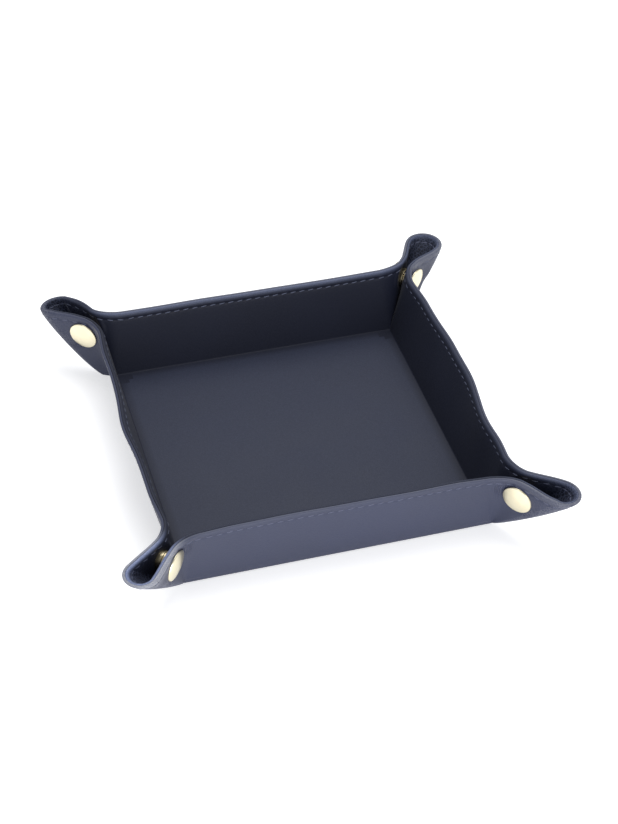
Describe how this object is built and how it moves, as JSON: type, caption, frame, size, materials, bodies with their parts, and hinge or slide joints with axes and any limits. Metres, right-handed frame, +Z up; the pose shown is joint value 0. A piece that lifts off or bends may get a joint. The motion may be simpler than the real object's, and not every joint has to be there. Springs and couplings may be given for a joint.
{
  "type": "valet tray",
  "caption": "Square leather valet tray with low outward-leaning walls, corners pinched into round loops by press studs, unfolding flat",
  "frame": {"origin": "centre of the underside of the floor, on the surface the tray rests on", "axes": "+Z up out of the tray, +X to the right along the front wall, -Y towards the front"},
  "size_m": [0.1732, 0.1732, 0.03],
  "materials": {
    "outer_leather": "smooth semi-matte navy leather, fine grain",
    "lining_leather": "smooth semi-matte navy leather, fine grain",
    "stiffener": "plain grey board",
    "snap_brass": "pale polished brass"
  },
  "bodies": {
    "floor": {"floor_outer_leather": "outer_leather", "floor_lining": "lining_leather", "floor_board": "stiffener"},
    "back_wall": {"back_wall_outer_leather": "outer_leather", "back_wall_lining": "lining_leather", "back_wall_board": "stiffener"},
    "back_right_flap": {"back_right_flap_outer_leather": "outer_leather", "back_right_flap_lining": "lining_leather", "back_right_snap_cap": "snap_brass", "back_right_snap_socket": "snap_brass"},
    "back_right_loop": {"back_right_loop_half": "outer_leather"},
    "back_left_flap": {"back_left_flap_outer_leather": "outer_leather", "back_left_flap_lining": "lining_leather", "back_left_snap_cap": "snap_brass", "back_left_snap_socket": "snap_brass"},
    "back_left_loop": {"back_left_loop_half": "outer_leather"},
    "left_wall": {"left_wall_outer_leather": "outer_leather", "left_wall_lining": "lining_leather", "left_wall_board": "stiffener"},
    "left_back_flap": {"left_back_flap_outer_leather": "outer_leather", "left_back_flap_lining": "lining_leather", "left_back_snap_cap": "snap_brass", "left_back_snap_stud": "snap_brass"},
    "left_back_loop": {"left_back_loop_half": "outer_leather"},
    "left_front_flap": {"left_front_flap_outer_leather": "outer_leather", "left_front_flap_lining": "lining_leather", "left_front_snap_cap": "snap_brass", "left_front_snap_stud": "snap_brass"},
    "left_front_loop": {"left_front_loop_half": "outer_leather"},
    "front_wall": {"front_wall_outer_leather": "outer_leather", "front_wall_lining": "lining_leather", "front_wall_board": "stiffener"},
    "front_left_flap": {"front_left_flap_outer_leather": "outer_leather", "front_left_flap_lining": "lining_leather", "front_left_snap_cap": "snap_brass", "front_left_snap_socket": "snap_brass"},
    "front_left_loop": {"front_left_loop_half": "outer_leather"},
    "front_right_flap": {"front_right_flap_outer_leather": "outer_leather", "front_right_flap_lining": "lining_leather", "front_right_snap_cap": "snap_brass", "front_right_snap_socket": "snap_brass"},
    "front_right_loop": {"front_right_loop_half": "outer_leather"},
    "right_wall": {"right_wall_outer_leather": "outer_leather", "right_wall_lining": "lining_leather", "right_wall_board": "stiffener"},
    "right_front_flap": {"right_front_flap_outer_leather": "outer_leather", "right_front_flap_lining": "lining_leather", "right_front_snap_cap": "snap_brass", "right_front_snap_stud": "snap_brass"},
    "right_front_loop": {"right_front_loop_half": "outer_leather"},
    "right_back_flap": {"right_back_flap_outer_leather": "outer_leather", "right_back_flap_lining": "lining_leather", "right_back_snap_cap": "snap_brass", "right_back_snap_stud": "snap_brass"},
    "right_back_loop": {"right_back_loop_half": "outer_leather"}
  },
  "joints": [
    {"name": "back_wall_fold", "type": "hinge", "parent": "floor", "child": "back_wall", "pos_m": [0, 0.06198, 0], "axis": [-1, 0, 0], "range_deg": [0, 78]},
    {"name": "back_right_flap_fold", "type": "hinge", "parent": "back_wall", "child": "back_right_flap", "pos_m": [0.06156, 0.05977, 0.0012], "axis": [-0.0446, -0.1906, -0.9806], "range_deg": [0, 49.36]},
    {"name": "back_right_loop_fold", "type": "hinge", "parent": "back_right_flap", "child": "back_right_loop", "pos_m": [0.06005, 0.06177, 0.0012], "axis": [0.3897, 0.5681, 0.7249], "range_deg": [0, 53.26]},
    {"name": "back_left_flap_fold", "type": "hinge", "parent": "back_wall", "child": "back_left_flap", "pos_m": [-0.06156, 0.05977, 0.0012], "axis": [-0.0446, 0.1906, 0.9806], "range_deg": [0, 49.36]},
    {"name": "back_left_loop_fold", "type": "hinge", "parent": "back_left_flap", "child": "back_left_loop", "pos_m": [-0.06005, 0.06177, 0.0012], "axis": [0.3897, -0.5681, -0.7249], "range_deg": [0, 53.26]},
    {"name": "left_wall_fold", "type": "hinge", "parent": "floor", "child": "left_wall", "pos_m": [-0.06198, 0, 0], "axis": [0, -1, 0], "range_deg": [0, 78]},
    {"name": "left_back_flap_fold", "type": "hinge", "parent": "left_wall", "child": "left_back_flap", "pos_m": [-0.05977, 0.06156, 0.0012], "axis": [0.1906, -0.0446, -0.9806], "range_deg": [0, 49.36]},
    {"name": "left_back_loop_fold", "type": "hinge", "parent": "left_back_flap", "child": "left_back_loop", "pos_m": [-0.06177, 0.06005, 0.0012], "axis": [-0.5681, 0.3897, 0.7249], "range_deg": [0, 53.26]},
    {"name": "left_front_flap_fold", "type": "hinge", "parent": "left_wall", "child": "left_front_flap", "pos_m": [-0.05977, -0.06156, 0.0012], "axis": [-0.1906, -0.0446, 0.9806], "range_deg": [0, 49.36]},
    {"name": "left_front_loop_fold", "type": "hinge", "parent": "left_front_flap", "child": "left_front_loop", "pos_m": [-0.06177, -0.06005, 0.0012], "axis": [0.5681, 0.3897, -0.7249], "range_deg": [0, 53.26]},
    {"name": "front_wall_fold", "type": "hinge", "parent": "floor", "child": "front_wall", "pos_m": [0, -0.06198, 0], "axis": [1, 0, 0], "range_deg": [0, 78]},
    {"name": "front_left_flap_fold", "type": "hinge", "parent": "front_wall", "child": "front_left_flap", "pos_m": [-0.06156, -0.05977, 0.0012], "axis": [0.0446, 0.1906, -0.9806], "range_deg": [0, 49.36]},
    {"name": "front_left_loop_fold", "type": "hinge", "parent": "front_left_flap", "child": "front_left_loop", "pos_m": [-0.06005, -0.06177, 0.0012], "axis": [-0.3897, -0.5681, 0.7249], "range_deg": [0, 53.26]},
    {"name": "front_right_flap_fold", "type": "hinge", "parent": "front_wall", "child": "front_right_flap", "pos_m": [0.06156, -0.05977, 0.0012], "axis": [0.0446, -0.1906, 0.9806], "range_deg": [0, 49.36]},
    {"name": "front_right_loop_fold", "type": "hinge", "parent": "front_right_flap", "child": "front_right_loop", "pos_m": [0.06005, -0.06177, 0.0012], "axis": [-0.3897, 0.5681, -0.7249], "range_deg": [0, 53.26]},
    {"name": "right_wall_fold", "type": "hinge", "parent": "floor", "child": "right_wall", "pos_m": [0.06198, 0, 0], "axis": [0, 1, 0], "range_deg": [0, 78]},
    {"name": "right_front_flap_fold", "type": "hinge", "parent": "right_wall", "child": "right_front_flap", "pos_m": [0.05977, -0.06156, 0.0012], "axis": [-0.1906, 0.0446, -0.9806], "range_deg": [0, 49.36]},
    {"name": "right_front_loop_fold", "type": "hinge", "parent": "right_front_flap", "child": "right_front_loop", "pos_m": [0.06177, -0.06005, 0.0012], "axis": [0.5681, -0.3897, 0.7249], "range_deg": [0, 53.26]},
    {"name": "right_back_flap_fold", "type": "hinge", "parent": "right_wall", "child": "right_back_flap", "pos_m": [0.05977, 0.06156, 0.0012], "axis": [0.1906, 0.0446, 0.9806], "range_deg": [0, 49.36]},
    {"name": "right_back_loop_fold", "type": "hinge", "parent": "right_back_flap", "child": "right_back_loop", "pos_m": [0.06177, 0.06005, 0.0012], "axis": [-0.5681, -0.3897, -0.7249], "range_deg": [0, 53.26]}
  ],
  "couplings": [
    {"joint": "back_wall_fold", "follows": "front_wall_fold", "ratio": 1},
    {"joint": "back_right_flap_fold", "follows": "front_wall_fold", "ratio": 0.63212},
    {"joint": "back_right_loop_fold", "follows": "front_wall_fold", "ratio": 0.68222},
    {"joint": "back_left_flap_fold", "follows": "front_wall_fold", "ratio": 0.63212},
    {"joint": "back_left_loop_fold", "follows": "front_wall_fold", "ratio": 0.68222},
    {"joint": "left_wall_fold", "follows": "front_wall_fold", "ratio": 1},
    {"joint": "left_back_flap_fold", "follows": "front_wall_fold", "ratio": 0.63212},
    {"joint": "left_back_loop_fold", "follows": "front_wall_fold", "ratio": 0.68222},
    {"joint": "left_front_flap_fold", "follows": "front_wall_fold", "ratio": 0.63212},
    {"joint": "left_front_loop_fold", "follows": "front_wall_fold", "ratio": 0.68222},
    {"joint": "front_left_flap_fold", "follows": "front_wall_fold", "ratio": 0.63212},
    {"joint": "front_left_loop_fold", "follows": "front_wall_fold", "ratio": 0.68222},
    {"joint": "front_right_flap_fold", "follows": "front_wall_fold", "ratio": 0.63212},
    {"joint": "front_right_loop_fold", "follows": "front_wall_fold", "ratio": 0.68222},
    {"joint": "right_wall_fold", "follows": "front_wall_fold", "ratio": 1},
    {"joint": "right_front_flap_fold", "follows": "front_wall_fold", "ratio": 0.63212},
    {"joint": "right_front_loop_fold", "follows": "front_wall_fold", "ratio": 0.68222},
    {"joint": "right_back_flap_fold", "follows": "front_wall_fold", "ratio": 0.63212},
    {"joint": "right_back_loop_fold", "follows": "front_wall_fold", "ratio": 0.68222}
  ]
}
